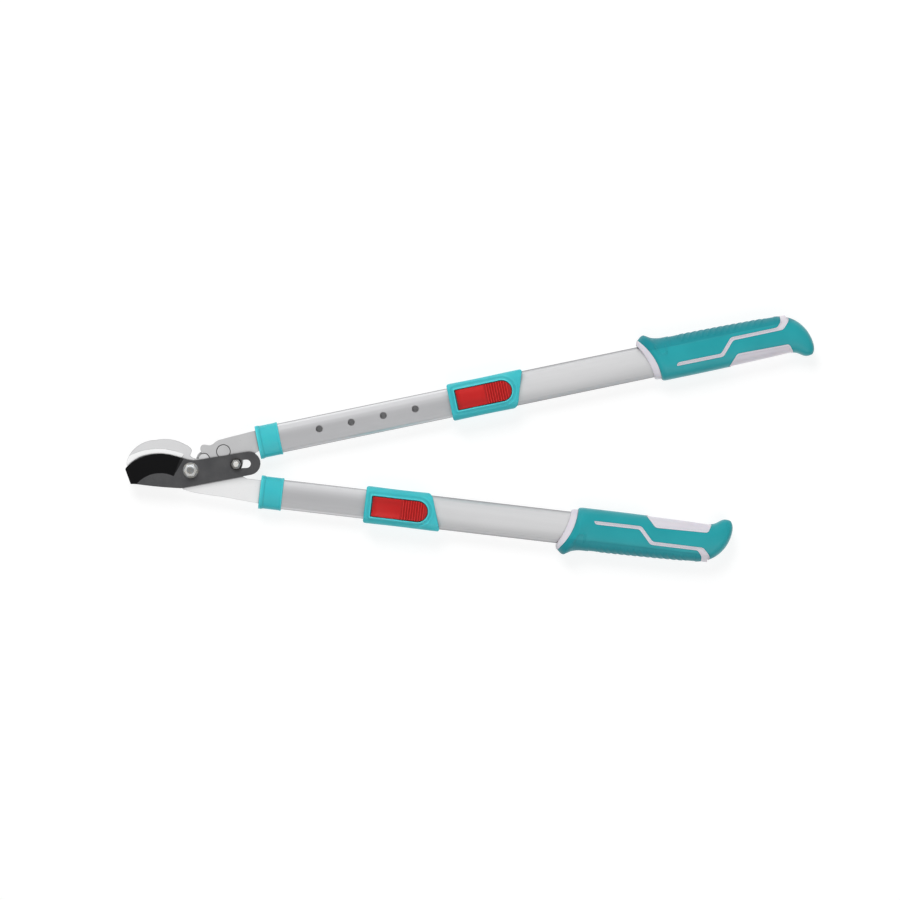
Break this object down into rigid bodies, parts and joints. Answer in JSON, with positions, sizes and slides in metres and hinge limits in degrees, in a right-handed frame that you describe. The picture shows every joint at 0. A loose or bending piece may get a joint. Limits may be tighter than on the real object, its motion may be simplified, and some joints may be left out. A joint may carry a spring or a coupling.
{
  "type": "bypass loppers",
  "caption": "Long-handled bypass loppers with a coated blade over a hook jaw, a slotted compound lever, and telescopic oval handles with rocker locks and soft flared grips.",
  "frame": {"origin": "centre of the pivot bolt head's flat back face, on the blade's pivot axis", "axes": "+X from the pivot towards the grips, along the line that halves the angle between the handles; +Y towards the hook jaw's side; +Z along the pivot axis, out of the front, where the nuts and lock levers are"},
  "size_m": [0.79, 0.2761, 0.0381],
  "materials": {
    "coated_blade": "black low-friction coating with a slightly darker ground bevel",
    "forged_steel": "satin ground and tumbled steel",
    "zinc_fastener": "bright zinc plating",
    "bush_steel": "turned steel",
    "black_washer": "black oxide",
    "anodised_tube": "fine matt silver anodising",
    "turquoise_plastic": "moulded, satin",
    "liner_plastic": "moulded nylon",
    "red_plastic": "moulded, semi-gloss",
    "spring_steel": "drawn spring steel",
    "lavender_plastic": "moulded, satin",
    "teal_rubber": "soft overmould with fine grain"
  },
  "bodies": {
    "hook_frame": {"hook_jaw": "forged_steel", "pivot_bolt": "zinc_fastener", "pivot_washer": "zinc_fastener", "pivot_nut": "zinc_fastener", "lower_collar": "turquoise_plastic", "lower_shank_plug": "liner_plastic", "lower_shank_pins": "spring_steel", "lower_inner_tube": "anodised_tube", "lower_guide_plug": "liner_plastic"},
    "drive_arm": {"drive_lever": "forged_steel", "slot_bolt": "zinc_fastener", "slot_bush": "bush_steel", "slot_washer": "black_washer", "slot_nut": "zinc_fastener", "keeper_rivet": "forged_steel", "keeper_plate": "forged_steel", "upper_collar": "turquoise_plastic", "upper_shank_plug": "liner_plastic", "upper_shank_pins": "spring_steel", "upper_inner_tube": "anodised_tube", "upper_guide_plug": "liner_plastic"},
    "blade": {"cutting_blade": "coated_blade"},
    "upper_handle": {"upper_clamp_housing": "turquoise_plastic", "upper_lever_pin": "spring_steel", "upper_lock_spring": "spring_steel", "upper_outer_tube": "anodised_tube", "upper_housing_screws": "zinc_fastener", "upper_grip_core": "lavender_plastic", "upper_grip_cover": "teal_rubber"},
    "upper_lever": {"upper_lock_lever": "red_plastic"},
    "upper_pin": {"upper_lock_pin": "spring_steel"},
    "lower_handle": {"lower_clamp_housing": "turquoise_plastic", "lower_lever_pin": "spring_steel", "lower_lock_spring": "spring_steel", "lower_outer_tube": "anodised_tube", "lower_housing_screws": "zinc_fastener", "lower_grip_core": "lavender_plastic", "lower_grip_cover": "teal_rubber"},
    "lower_lever": {"lower_lock_lever": "red_plastic"},
    "lower_pin": {"lower_lock_pin": "spring_steel"}
  },
  "joints": [
    {"name": "lever_pivot", "type": "hinge", "parent": "hook_frame", "child": "drive_arm", "pos_m": [0.0154, 0.0122, 0.0075], "axis": [0, 0, 1], "range_deg": [0, 48]},
    {"name": "blade_pivot", "type": "hinge", "parent": "hook_frame", "child": "blade", "pos_m": [0, 0, 0.0126], "axis": [0, 0, 1], "range_deg": [0, 33]},
    {"name": "upper_telescope", "type": "slide", "parent": "drive_arm", "child": "upper_handle", "axis": [0.9871, 0.1599, 0], "range_m": [-0.1679, 0]},
    {"name": "lower_telescope", "type": "slide", "parent": "hook_frame", "child": "lower_handle", "axis": [0.9871, -0.1599, 0], "range_m": [0, 0.1116]},
    {"name": "upper_lock", "type": "hinge", "parent": "upper_handle", "child": "upper_lever", "pos_m": [0.33743, 0.07137, 0.0231], "axis": [-0.1599, 0.9871, 0], "range_deg": [-7.5, 0], "deforming": ["upper_lock_spring"]},
    {"name": "upper_lock_pin_slide", "type": "slide", "parent": "upper_handle", "child": "upper_pin", "axis": [0, 0, 1], "range_m": [-0.0031, 0]},
    {"name": "lower_lock", "type": "hinge", "parent": "lower_handle", "child": "lower_lever", "pos_m": [0.23576, -0.0549, 0.0231], "axis": [0.1599, 0.9871, 0], "range_deg": [-7.5, 0], "deforming": ["lower_lock_spring"]},
    {"name": "lower_lock_pin_slide", "type": "slide", "parent": "lower_handle", "child": "lower_pin", "axis": [0, 0, 1], "range_m": [-0.0031, 0]}
  ],
  "couplings": [
    {"joint": "blade_pivot", "follows": "lever_pivot", "ratio": 0.6795},
    {"joint": "upper_lock_pin_slide", "follows": "upper_lock", "m_per_rad": 0.0236},
    {"joint": "lower_lock_pin_slide", "follows": "lower_lock", "m_per_rad": 0.0236}
  ]
}
